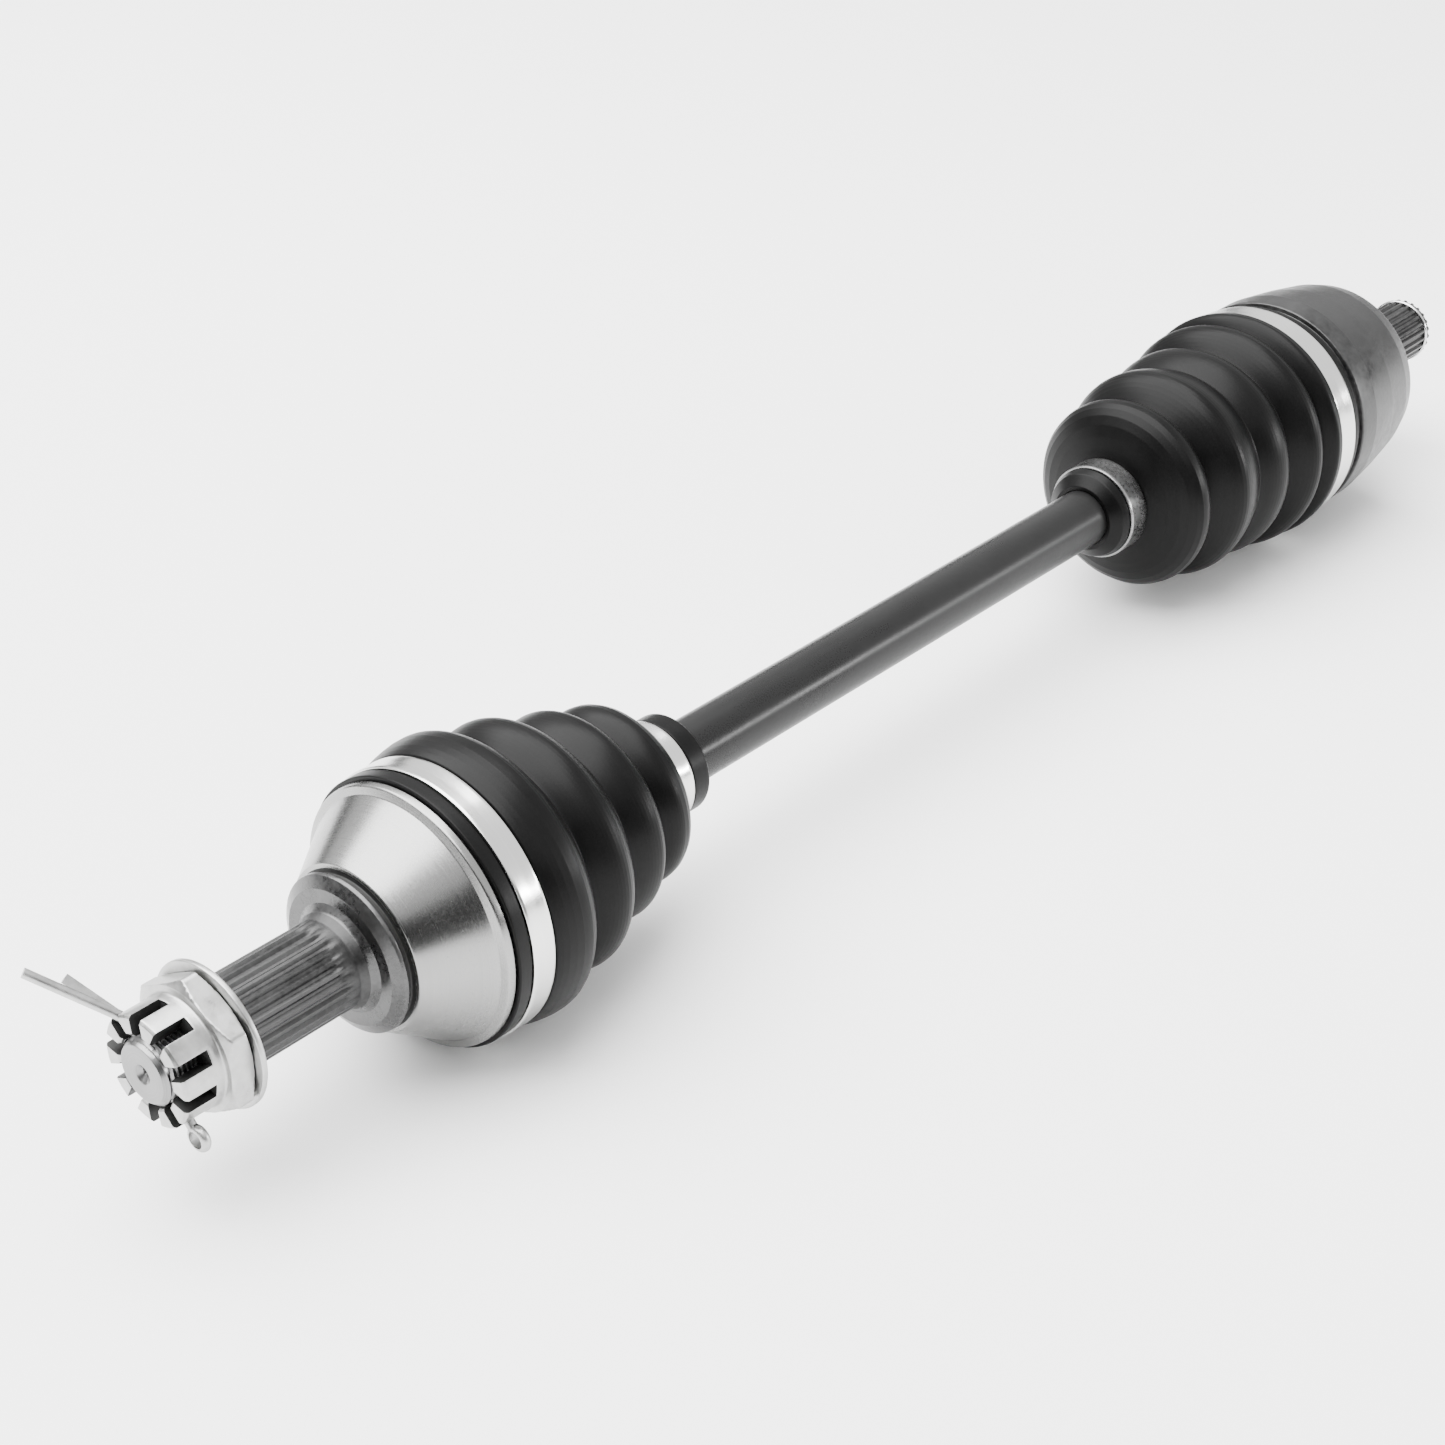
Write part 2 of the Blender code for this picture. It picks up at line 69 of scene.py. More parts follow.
MM = 0.001
JOINTS = {j["name"]: j for j in frame["joints"]}
OUTBOARD = Vector(JOINTS["outboard_swing_outer"]["pos_m"])
INBOARD = Vector(JOINTS["inboard_swing_outer"]["pos_m"])
CENTRES = {"outboard": OUTBOARD, "inboard": INBOARD}
BALLS = 6
BALL_CIRCLE = {"outboard": 24.0, "inboard": 26.0}  # mm from the axle's line to a ball's centre
BALL_RADIUS = {"outboard": 7.0, "inboard": 7.5}
TRACK_RADIUS = {"outboard": 7.9, "inboard": 8.1}
ROUND = 144  # points round a visible turned piece
CREASE = 38  # degrees above which an edge is drawn sharp
PIN_UP = Vector((0, 0.681, 0.732)).normalized()  # the way the split pin's legs leave the nut
PIN_STATION = -98.2  # mm from the outboard joint centre


# ---------------------------------------------------------------- materials


class Nodes:
    """A material's node tree, with short calls for the nodes used here."""

    def __init__(self, name, metallic, roughness, anisotropic=0.0, specular=0.5):
        self.material = bpy.data.materials.new(name)
        self.material.use_nodes = True
        self.tree = self.material.node_tree
        self.shader = self.tree.nodes["Principled BSDF"]
        self.set("Metallic", metallic)
        self.set("Roughness", roughness)
        self.set("Anisotropic", anisotropic)
        self.set("Anisotropic Rotation", 0.25)
        self.set("Specular IOR Level", specular)
        self.place = self.tree.nodes.new("ShaderNodeTexCoord").outputs["Object"]

    def set(self, socket, value):
        self.shader.inputs[socket].default_value = value

    def link(self, source, target):
        self.tree.links.new(source, target)

    def math(self, operation, first, second=0.5):
        node = self.tree.nodes.new("ShaderNodeMath")
        node.operation = operation
        for socket, value in zip(node.inputs, (first, second)):
            if isinstance(value, (int, float)):
                socket.default_value = value
            else:
                self.link(value, socket)
        return node.outputs[0]

    def stretched(self, scale):
        node = self.tree.nodes.new("ShaderNodeMapping")
        node.inputs["Scale"].default_value = scale
        self.link(self.place, node.inputs["Vector"])
        return node.outputs[0]

    def noise(self, scale, detail=3.0, rough=0.55, at=None):
        node = self.tree.nodes.new("ShaderNodeTexNoise")
        node.inputs["Scale"].default_value = scale
        node.inputs["Detail"].default_value = detail
        node.inputs["Roughness"].default_value = rough
        self.link(at or self.place, node.inputs["Vector"])
        return node.outputs["Fac"]

    def rings(self, along, outward):
        """A point that only changes along the axle and with the radius, for turning marks."""
        parts = self.tree.nodes.new("ShaderNodeSeparateXYZ")
        self.link(self.place, parts.inputs[0])
        squares = [self.math("POWER", parts.outputs[i], 2.0) for i in (1, 2)]
        radius = self.math("SQRT", self.math("ADD", *squares), 0.0)
        joined = self.tree.nodes.new("ShaderNodeCombineXYZ")
        self.link(self.math("MULTIPLY", parts.outputs[0], along), joined.inputs[0])
        self.link(self.math("MULTIPLY", radius, outward), joined.inputs[1])
        return joined.outputs[0]

    def span(self, factor, low, high, first, last):
        """Maps a factor from one span to another."""
        node = self.tree.nodes.new("ShaderNodeMapRange")
        values = (low, high, first, last)
        for name, value in zip(("From Min", "From Max", "To Min", "To Max"), values):
            node.inputs[name].default_value = value
        self.link(factor, node.inputs["Value"])
        return node.outputs[0]

    def colours(self, factor, stops):
        """A colour ramp, as (position, colour) stops."""
        node = self.tree.nodes.new("ShaderNodeValToRGB")
        ramp = node.color_ramp
        while len(ramp.elements) < len(stops):
            ramp.elements.new(0.5)
        for element, (position, colour) in zip(ramp.elements, stops):
            element.position = position
            element.color = (*colour, 1)
        self.link(factor, node.inputs["Fac"])
        return node.outputs["Color"]

    def bump(self, height, distance):
        node = self.tree.nodes.new("ShaderNodeBump")
        node.inputs["Distance"].default_value = distance
        self.link(height, node.inputs["Height"])
        return node

    def finish(self, colour=None, roughness=None, bump=None):
        if colour is not None:
            self.link(colour, self.shader.inputs["Base Color"])
        if roughness is not None:
            self.link(roughness, self.shader.inputs["Roughness"])
        if bump is not None:
            self.link(bump.outputs[0], self.shader.inputs["Normal"])
        return self.material


def turned_metal(name, dark, light, rough, ring_scale=5000.0, ring_depth=0.000012):
    """Lathe-turned metal: fine rings, a faint cloudiness and uneven gloss."""
    n = Nodes(name, 1.0, rough, anisotropic=0.5)
    tangent = n.tree.nodes.new("ShaderNodeTangent")
    tangent.direction_type = "RADIAL"
    tangent.axis = "X"
    n.link(tangent.outputs[0], n.shader.inputs["Tangent"])
    rings = n.noise(1.0, 4.0, 0.7, at=n.rings(ring_scale, ring_scale * 0.7))
    cloud = n.noise(30.0, 3.0, 0.5)
    speck = n.noise(900.0, 2.0, 0.5)
    mixed = n.math("ADD", n.math("MULTIPLY", cloud, 0.5), n.math("MULTIPLY", rings, 0.5))
    colour = n.colours(mixed, [(0.34, dark), (0.64, light)])
    gloss = n.math("ADD", n.span(cloud, 0.3, 0.7, rough - 0.03, rough + 0.03),
                   n.span(rings, 0.3, 0.7, -0.03, 0.03))
    gloss = n.math("ADD", gloss, n.span(speck, 0.35, 0.7, -0.01, 0.02))
    return n.finish(colour, gloss, n.bump(rings, ring_depth))


def forged_metal(name, dark, light, rough, metallic=0.9, grain=650.0, depth=0.00006):
    """Forged and oiled or phosphated metal: a fine grain with softer patches."""
    n = Nodes(name, metallic, rough)
    patches = n.noise(60.0, 5.0, 0.65)
    fine = n.noise(grain, 4.0, 0.6)
    mixed = n.math("ADD", n.math("MULTIPLY", patches, 0.6), n.math("MULTIPLY", fine, 0.4))
    colour = n.colours(mixed, [(0.32, dark), (0.66, light)])
    gloss = n.math("ADD", n.span(patches, 0.3, 0.7, rough - 0.08, rough + 0.08),
                   n.span(fine, 0.3, 0.7, -0.05, 0.06))
    return n.finish(colour, gloss, n.bump(fine, depth))


def shaft_paint():
    """Satin black paint on the bar, with a little orange peel and dust."""
    n = Nodes("shaft_paint", 0.0, 0.24, specular=0.17)
    peel = n.noise(420.0, 2.0, 0.5)
    patches = n.noise(36.0, 5.0, 0.6, at=n.stretched((0.35, 1.0, 1.0)))
    dust = n.noise(1500.0, 2.0, 0.6)
    colour = n.colours(patches, [(0.30, (0.006, 0.006, 0.006)), (0.70, (0.012, 0.012, 0.012))])
    gloss = n.math("ADD", n.span(patches, 0.3, 0.7, 0.24, 0.34), n.span(dust, 0.4, 0.7, 0.0, 0.04))
    return n.finish(colour, gloss, n.bump(peel, 0.00003))


def rubber():
    """Moulded neoprene: near black, faintly bloomed, with a matt grain."""
    n = Nodes("boot_rubber_fine", 0.0, 0.31, specular=0.10)
    bloom = n.noise(48.0, 4.0, 0.6)
    grain = n.noise(1900.0, 3.0, 0.6)
    flow = n.noise(1.0, 3.0, 0.6, at=n.rings(420.0, 300.0))
    mixed = n.math("ADD", n.math("MULTIPLY", bloom, 0.65), n.math("MULTIPLY", flow, 0.35))
    colour = n.colours(mixed, [(0.34, (0.0015, 0.0015, 0.0015)), (0.62, (0.003, 0.003, 0.003)),
                               (0.80, (0.005, 0.005, 0.005))])
    gloss = n.math("ADD", n.span(bloom, 0.3, 0.7, 0.32, 0.40), n.span(grain, 0.3, 0.7, -0.03, 0.04))
    return n.finish(colour, gloss, n.bump(grain, 0.00002))


def zinc():
    """Zinc-plated steel: light, with a faint mottled passivation."""
    n = Nodes("zinc_plate", 1.0, 0.34)
    mottle = n.noise(190.0, 5.0, 0.65)
    fine = n.noise(1400.0, 3.0, 0.6)
    colour = n.colours(mottle, [(0.30, (0.32, 0.32, 0.315)), (0.55, (0.41, 0.41, 0.405)),
                                (0.80, (0.48, 0.48, 0.475))])
    gloss = n.math("ADD", n.span(mottle, 0.3, 0.7, 0.28, 0.44), n.span(fine, 0.3, 0.7, -0.03, 0.05))
    return n.finish(colour, gloss, n.bump(fine, 0.00003))


MACHINED = turned_metal("machined_steel_fine", (0.225, 0.225, 0.222), (0.285, 0.285, 0.281), 0.26)
CLAMP = turned_metal("clamp_stainless", (0.60, 0.60, 0.59), (0.72, 0.72, 0.71), 0.22, 9000.0, 0.000005)
DULL_CLAMP = forged_metal("clamp_dull", (0.15, 0.15, 0.15), (0.23, 0.23, 0.23), 0.27, 0.95, 900.0, 0.000008)
BEARING = turned_metal("bearing_ground", (0.54, 0.54, 0.54), (0.66, 0.66, 0.66), 0.18, 7000.0, 0.000006)
THREAD_STEEL = turned_metal("thread_steel", (0.15, 0.15, 0.15), (0.24, 0.24, 0.24), 0.30, 4000.0)
# The grooves' steel is painted darker than bare steel: it is painted shade, in the collar's groove and in the
# nut's slots.
GROOVE_SHADE_STEEL = forged_metal("groove_shadowed", (0.010, 0.010, 0.010), (0.022, 0.022, 0.021), 0.55, 0.5)
STUB_STEEL = forged_metal("stub_steel", (0.03, 0.03, 0.03), (0.062, 0.062, 0.062), 0.42, 0.9)
COLLAR_STEEL = forged_metal("collar_steel", (0.055, 0.055, 0.055), (0.10, 0.10, 0.10), 0.30, 0.95)
CUP_STEEL = forged_metal("cup_steel", (0.028, 0.028, 0.028), (0.066, 0.066, 0.066), 0.38, 0.9, 420.0)
PAINT = shaft_paint()
RUBBER = rubber()
ZINC = zinc()


# ---------------------------------------------------------------- mesh tools


def rounded(outline, steps=5):
    """The outline with each corner that has a rounding replaced by an arc."""
    points = [Vector(p[:2]) for p in outline]
    radii = [p[2] if len(p) > 2 else 0.0 for p in outline]
    path = [points[0]]
    for before, here, after, radius in zip(points, points[1:], points[2:], radii[1:]):
        into, out = (before - here), (after - here)
        angle = into.angle(out) if into.length and out.length else math.pi
        if radius <= 0 or angle > math.pi - 0.01:
            path.append(here)
            continue
        reach = min(radius / math.tan(angle / 2), 0.49 * into.length, 0.49 * out.length)
        radius = reach * math.tan(angle / 2)
        first, last = here + into.normalized() * reach, here + out.normalized() * reach
        towards = (into.normalized() + out.normalized()).normalized()
        middle = here + towards * radius / math.sin(angle / 2)
        start, turn = (first - middle), (first - middle).angle_signed(last - middle)
        for i in range(steps + 1):
            a = -turn * i / steps
            path.append(middle + Matrix.Rotation(a, 2) @ start)
    path.append(points[-1])
    return [(p.x, p.y) for p in path]


def finely(path, longest):
    """The path with its straight runs cut into lengths of at most `longest` mm."""
    fine = [path[0]]
    for (x0, r0), (x1, r1) in zip(path, path[1:]):
        count = max(1, math.ceil(math.hypot(x1 - x0, r1 - r0) / longest))
        fine += [(x0 + (x1 - x0) * i / count, r0 + (r1 - r0) * i / count) for i in range(1, count + 1)]
    return fine


def mesh_object(name, vertices, faces, material):
    mesh = bpy.data.meshes.new(name)
    mesh.from_pydata([tuple(v) for v in vertices], [], faces)
    mesh.validate()
    obj = bpy.data.objects.new(name, mesh)
    bpy.context.scene.collection.objects.link(obj)
    mesh.materials.append(material)
    return obj


def lathe(name, centre, path, material, closed=False, around=ROUND, shape=None, sharp=CREASE):
    """A turned piece about the axle's line; shape(x, angle, radius) may change a radius, mm and radians.

    The path runs from +X to -X down the outer side. An open path starts and ends on the axis.
    """
    vertices, rows = [], []
    for x, r in path:
        if r < 1e-6:
            rows.append([len(vertices)])
            vertices.append(centre + Vector((x * MM, 0, 0)))
            continue
        row = []
        for i in range(around):
            a = 2 * math.pi * i / around
            radius = shape(x, a, r) if shape else r
            row.append(len(vertices))
            vertices.append(centre + Vector((x, radius * math.cos(a), radius * math.sin(a))) * MM)
        rows.append(row)
    pairs = list(zip(rows, rows[1:])) + ([(rows[-1], rows[0])] if closed else [])
    faces = []
    for first, second in pairs:
        for i in range(around):
            j = (i + 1) % around
            if len(first) == 1 and len(second) > 1:
                faces.append((first[0], second[i], second[j]))
            elif len(second) == 1 and len(first) > 1:
                faces.append((first[i], second[0], first[j]))
            elif len(first) > 1:
                faces.append((first[i], second[i], second[j], first[j]))
    obj = mesh_object(name, vertices, faces, material)
    return shade(obj, sharp)


def shade(obj, sharp=CREASE):
    """Smooth faces, with the edges sharper than `sharp` degrees left as creases."""
    obj.data.shade_smooth()
    obj.data.set_sharp_from_angle(angle=math.radians(sharp))
    return obj


def second_material(obj, centre, material, chosen):
    """Gives the faces whose middle passes chosen(x, radius), in mm from the centre, another material."""
    obj.data.materials.append(material)
    for face in obj.data.polygons:
        middle = (face.center - centre) / MM
        if chosen(middle.x, math.hypot(middle.y, middle.z)):
            face.material_index = len(obj.data.materials) - 1


def cut(obj, cutters):
    """Takes the cutters away from the piece, one after another, then removes them."""
    for cutter in cutters:
        modifier = obj.modifiers.new("cut", "BOOLEAN")
        modifier.operation = "DIFFERENCE"
        modifier.solver = "EXACT"
        modifier.object = cutter
    return made_real(obj, cutters)


def made_real(obj, helpers=()):
    """Turns the piece's modifiers into its mesh, and removes the objects that they needed."""
    graph = bpy.context.evaluated_depsgraph_get()
    mesh = bpy.data.meshes.new_from_object(obj.evaluated_get(graph))
    obj.modifiers.clear()
    old = obj.data
    obj.data = mesh
    bpy.data.meshes.remove(old)
    for helper in helpers:
        bpy.data.objects.remove(helper, do_unlink=True)
    return obj


def edge_round(obj, width, limit):
    """Rounds the edges that turn by more than `limit` degrees."""
    bevel = obj.modifiers.new("round", "BEVEL")
    bevel.width = width * MM
    bevel.segments = 2
    bevel.limit_method = "ANGLE"
    bevel.angle_limit = math.radians(limit)
    made_real(obj)
    return shade(obj, 45)


def block(name, size, matrix):
    """A box of the given size in mm, to cut with."""
    work = bmesh.new()
    bmesh.ops.create_cube(work, size=1)
    bmesh.ops.scale(work, vec=[s * MM for s in size], verts=work.verts)
    mesh = bpy.data.meshes.new(name)
    work.to_mesh(mesh)
    work.free()
    obj = bpy.data.objects.new(name, mesh)
    bpy.context.scene.collection.objects.link(obj)
    obj.matrix_world = matrix
    return obj


def tube_along(name, points, radius, around=24, material=None, flat=None):
    """A capped round tube along points in metres; flat(point, along) makes it half-round, facing that way."""
    vertices, faces = [], []
    last = len(points) - 1
    normal = (points[1] - points[0]).normalized().orthogonal().normalized()
    for i, point in enumerate(points):
        along = (points[min(i + 1, last)] - points[max(i - 1, 0)]).normalized()
        normal = flat(point, along) if flat else (normal - along * normal.dot(along)).normalized()
        side = along.cross(normal)
        for k in range(around):
            a = 2 * math.pi * k / around
            up = math.cos(a) * radius
            if flat:
                up = min(up, radius * 0.02)
            vertices.append(point + (normal * up + side * math.sin(a) * radius) * MM)
    for i in range(last):
        a, b = i * around, (i + 1) * around
        for k in range(around):
            m = (k + 1) % around
            faces.append((a + k, a + m, b + m, b + k))
    faces.append(tuple(reversed(range(around))))
    faces.append(tuple(range(last * around, (last + 1) * around)))
    obj = mesh_object(name, vertices, faces, material)
    return shade(obj, 50)


def outward(angle):
    """The direction away from the axle's line at an angle from +Y."""
    return Vector((0, math.cos(angle), math.sin(angle)))


def arc(radius, first, last, steps):
    """Points on a circle about the joint centre, at angles in degrees from the ball plane."""
    angles = [math.radians(first + (last - first) * i / steps) for i in range(steps + 1)]
    return [(radius * math.sin(a), radius * math.cos(a)) for a in angles]


def stand_for(piece, node, body):
    """The piece replaces the CAD node and moves with its body."""
    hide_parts(node)
    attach(piece, body)
    return piece


# ---------------------------------------------------------------- splines and threads


def smooth(value):
    """Eases from 0 to 1."""
    value = min(1.0, max(0.0, value))
    return value * value * (3 - 2 * value)


def spline_teeth(count, tip, depth, start, end, run_out=2.5):
    """Teeth cut into a stub between two stations; their roots rise over the run-out at the +X end."""

    def shape(x, angle, radius):
        if not start <= x <= end + run_out or radius < tip - depth * 1.3:
            return radius
        wave = math.cos(count * angle)
        tooth = smooth(0.5 + wave * 1.1)
        lift = smooth((x - end) / run_out)
        return min(radius, tip - depth * (1 - tooth) * (1 - lift))

    return shape


def thread_cut(pitch, radius_outer, depth, start, end):
    """A screw thread's groove between two stations, which fades out at the +X end."""

    def shape(x, angle, radius):
        if not start <= x <= end or radius < radius_outer - depth:
            return radius
        phase = (x / pitch + angle / (2 * math.pi)) % 1.0
        groove = max(0.0, 1 - abs(phase - 0.5) * 2.3)
        fade = smooth((end - x) / (1.5 * pitch))
        return min(radius, radius_outer - depth * groove * fade)

    return shape


# ---------------------------------------------------------------- pieces


def make_shaft():
    """The bar, with the boot seats as shallow rings, and splined ends inside the joints."""
    reach = (INBOARD.x - OUTBOARD.x) / MM
    bar, end = 10.5, 9.5

    def half(boot_in, boot_out):
        """From the joint centre's far side along the bar, as distances from the centre."""
        return [
            (13.0, 0.0), (13.0, end - 1.0, 0.3), (12.4, end - 0.3, 0.2), (12.4, 8.4), (10.7, 8.4),
            (10.7, end - 0.1, 0.2), (-12.6, end - 0.1, 1.0), (-15.6, bar, 1.5),
            (-boot_in, bar, 0.4), (-boot_in - 0.8, bar - 0.45, 0.3), (-boot_out + 0.8, bar - 0.45, 0.3),
            (-boot_out, bar, 0.4),
        ]

    right = half(126.2, 136.3)  # to the inboard boot's seat
    left = [(-p[0] - reach, *p[1:]) for p in reversed(half(87.4, 96.4))]  # to the outboard boot's
    path = finely(rounded(right + left, 6), 12.0)
    teeth = spline_teeth(24, end - 0.1, 0.8, -12.0, 12.4)
    other = spline_teeth(24, end - 0.1, 0.8, -reach - 12.4, -reach + 12.0, 0.1)
    shaft = lathe("shaft_bar_fine", INBOARD, path, PAINT, around=120,
                  shape=lambda x, a, r: other(x, a, teeth(x, a, r)))
    stand_for(shaft, "shaft_bar", "shaft")


def make_bell():
    """Bell, collar, splined stub and thread, with the ball tracks cut inside."""
    floor, bore = -22.0, 26.0
    thread_start, thread_end, thread_radius = -79.2, -101.0, 10.0
    deep = -math.degrees(math.asin(-floor / bore))
    inside = [(floor, 0.0)] + arc(bore, deep, 13, 10)
    outside = [
        (7.5, 30.0, 0.4), (7.5, 40.9, 0.5), (-6.0, 40.9, 0.1), (-6.3, 41.6, 0.3), (-8.6, 41.3, 0.9),
        (-9.5, 38.7, 0.6), (-28.2, 26.2, 0.5), (-28.5, 23.4, 0.5), (-30.5, 23.4, 0.4),
        (-30.8, 24.9, 0.3), (-32.0, 24.6, 0.5), (-34.0, 21.2, 0.4), (-34.0, 17.0, 0.3),
        (-35.6, 15.0, 2.0), (-38.5, 13.9, 1.5), (-77.0, 13.9, 0.4), (-78.4, 12.8, 0.3),
        (-78.4, 10.0, 0.2), (-101.6, 10.0, 0.3), (-103.0, 8.7, 0.4), (-103.0, 3.2, 0.3),
        (-101.6, 1.4), (-100.4, 1.0), (-98.9, 0.0),
    ]
    smooth_outside = rounded([inside[-1]] + outside, 5)[1:]
    path = finely(inside + smooth_outside, 2.0)
    # The thread needs closer rows than the rest of the outline has.
    path = [p for p in path if not thread_end < p[0] < thread_start + 0.2 or p[1] < thread_radius - 0.1]
    at = next(i for i, p in enumerate(path) if p[0] <= thread_end and p[1] > thread_radius - 1)
    path[at:at] = [(thread_start - 0.19 * i, thread_radius) for i in range(114)]
    teeth = spline_teeth(26, 13.9, 0.9, -78.4, -44.0, 3.0)
    screw = thread_cut(1.5, thread_radius, 0.85, -103.5, thread_start)
    bell = lathe("outboard_bell_fine", OUTBOARD, path, MACHINED, around=208,
                 shape=lambda x, a, r: screw(x, a, teeth(x, a, r)))
    collar, groove_end, collar_end, spline_end = -28.3, -30.7, -36.0, -78.3
    second_material(bell, OUTBOARD, COLLAR_STEEL, lambda x, r: collar_end < x < collar and r > 13.0)
    # Painted shade: the narrow groove between the cone and the collar is painted dark.
    second_material(bell, OUTBOARD, GROOVE_SHADE_STEEL, lambda x, r: groove_end < x < collar and 20.0 < r < 24.8)
    second_material(bell, OUTBOARD, STUB_STEEL, lambda x, r: spline_end < x <= collar_end)
    second_material(bell, OUTBOARD, THREAD_STEEL, lambda x, r: x <= spline_end)
    tracks = []
    for k in range(BALLS):
        direction = outward(2 * math.pi * k / BALLS)
        line = arc(BALL_CIRCLE["outboard"], -42, 60, 20)
        points = [OUTBOARD + (Vector((x, 0, 0)) + direction * r) * MM for x, r in line]
        tracks.append(tube_along("track", points, TRACK_RADIUS["outboard"]))
    reach = PIN_UP * 20 * MM
    middle = OUTBOARD + Vector((PIN_STATION * MM, 0, 0))
    tracks.append(tube_along("pin_hole", [middle - reach, middle + reach], 2.4))
    cut(bell, tracks)
    shade(bell, 32)
    stand_for(bell, "outboard_bell", "wheel_end")


def make_nut():
    """Hexagon with turned corners, castellated collar and slots."""
    flat = 19.0  # half the width across the hexagon's flats
    corner = 2 * flat / math.sqrt(3)
    slots_across = 5  # each cut makes two opposite slots

    def hexagon(x, angle, radius):
        if radius < flat * 0.9:
            return radius
        local = (angle + math.pi / 6) % (math.pi / 3) - math.pi / 6
        return min(radius, flat / math.cos(local))

    outline = [
        (-81.2, 10.6, 0.3), (-81.2, 19.2, 0.3), (-82.4, corner - 0.2, 0.3), (-87.0, corner - 0.2, 0.3),
        (-88.6, 18.9, 0.6), (-88.9, 17.0, 0.8), (-90.5, 16.9, 0.8), (-101.2, 16.9, 0.6),
        (-102.0, 16.0, 0.5), (-102.0, 11.6, 0.5), (-100.8, 10.4, 0.3), (-81.2, 10.4),
    ]
    path = finely(rounded(outline, 4)[:-1], 0.8)
    nut = lathe("castle_nut_fine", OUTBOARD, path, ZINC, closed=True, around=240, shape=hexagon,
                sharp=32)
    first = math.atan2(PIN_UP.z, PIN_UP.y)
    slots = []
    for k in range(slots_across):
        turn = Matrix.Rotation(first + math.pi * k / slots_across, 4, "X")
        place = Matrix.Translation(OUTBOARD + Vector((-98.0 * MM, 0, 0))) @ turn
        slots.append(block("slot", (12.0, 60.0, 4.4), place))
    cut(nut, slots)
    # Painted shade: the walls and floors of the nut's slots are painted dark.
    second_material(nut, OUTBOARD, GROOVE_SHADE_STEEL, lambda x, r: -101.6 < x < -91.0 and 10.7 < r < 16.6)
    edge_round(nut, 0.35, 50)
    stand_for(nut, "castle_nut", "wheel_end")


def make_washer():
    near, far, bore, rim = -78.95, -80.85, 10.6, 22.3
    outline = [(near, 11.0, 0.3), (near, rim, 0.6), (far, rim, 0.5), (far, bore, 0.3), (near, bore, 0.3)]
    path = finely(rounded(outline, 5), 1.5)
    washer = lathe("hub_washer_fine", OUTBOARD, path, ZINC, closed=True, around=128)
    stand_for(washer, "hub_washer", "wheel_end")


def make_cotter_pin():
    """Half-round wire: a round eye, two flats together through the thread, and splayed legs."""
    across = Vector((1, 0, 0)).cross(PIN_UP)
    base = OUTBOARD + Vector((PIN_STATION * MM, 0, 0))
    # Along the pin, mm from the axle's line: the eye's middle, the neck under it, and where the legs bend.
    eye_middle, neck, bend = -22.0, -19.2, 10.0
    side, eye_radius = 0.05, 2.6

    def leg(sign, length, lean):
        """From the eye to the tip, with a smooth bend away from the nut."""
        stations = [neck + (bend - neck) * i / 12 for i in range(13)]
        points = [(0.0, up) for up in stations]
        out, up, turn = 0.0, bend, 0.0
        steps = 26
        for i in range(steps):
            turn = math.radians(lean) * smooth(i / 5.0)
            out += length / steps * math.sin(turn)
            up += length / steps * math.cos(turn)
            points.append((out, up))
        return [base + (Vector((-o, 0, 0)) + PIN_UP * u + across * sign * side) * MM for o, u in points]

    opening = 0.32  # half the gap in the eye, radians
    turns = [opening + (2 * math.pi - 2 * opening) * i / 40 for i in range(41)]
    eye = [
        base + (PIN_UP * (eye_middle + eye_radius * math.cos(a)) + across * eye_radius * math.sin(a)) * MM
        for a in turns
    ]
    path = leg(1, 34.8, 37.9)[::-1] + eye + leg(-1, 24.2, 26.6)

    def flat(point, along):
        """The flat faces the other leg, and the inside of the eye."""
        local = point - base
        if local.dot(PIN_UP) / MM < neck - 0.1:
            aim = (base + PIN_UP * eye_middle * MM) - point
        else:
            aim = -across * (1 if local.dot(across) > 0 else -1)
        aim = aim - along * aim.dot(along)
        return aim.normalized()

    pin = tube_along("cotter_pin_fine", path, 1.5, 20, ZINC, flat=flat)
    stand_for(pin, "cotter_pin", "wheel_end")


def make_clamp(node, body, centre, span, radii, steel):
    """A thin stainless band with rolled edges and a crimped ear on the far lower side."""
    low, high = span
    inner, outer = radii
    ear_angle = math.atan2(-0.68, 0.73)
    ear_width, ear_height = 7.0, 2.2

    def shape(x, angle, radius):
        near = (angle - ear_angle + math.pi) % (2 * math.pi) - math.pi
        away = abs(near) * outer
        edge = min(x - low, high - x)
        lift = smooth((ear_width / 2 + 1.0 - away) / 1.4) * smooth(edge / 1.2)
        return radius + ear_height * lift

    outline = [
        (high, inner, 0.2), (high, outer - 0.12, 0.3), (high - 0.9, outer, 0.3),
        ((high + low) / 2, outer - 0.10), (low + 0.9, outer, 0.3), (low, outer - 0.12, 0.3),
        (low, inner, 0.2), (high, inner),
    ]
    path = finely(rounded(outline, 4)[:-1], 0.9)
    band = lathe(f"{node}_fine", centre, path, steel, closed=True, around=288, shape=shape, sharp=40)
    stand_for(band, node, body)


def make_clamps():
    rows = (
        ("outboard_large_clamp", "wheel_end", OUTBOARD, (-0.8, 7.6), (42.4, 43.5), CLAMP),
        ("outboard_small_clamp", "shaft", OUTBOARD, (87.8, 96.1), (15.7, 16.8), CLAMP),
        ("inboard_large_clamp", "gearbox_end", INBOARD, (-34.2, -23.2), (42.8, 44.0), CLAMP),
        ("inboard_small_clamp", "shaft", INBOARD, (-136.1, -126.6), (16.7, 17.7), DULL_CLAMP),
    )
    for row in rows:
        make_clamp(*row)


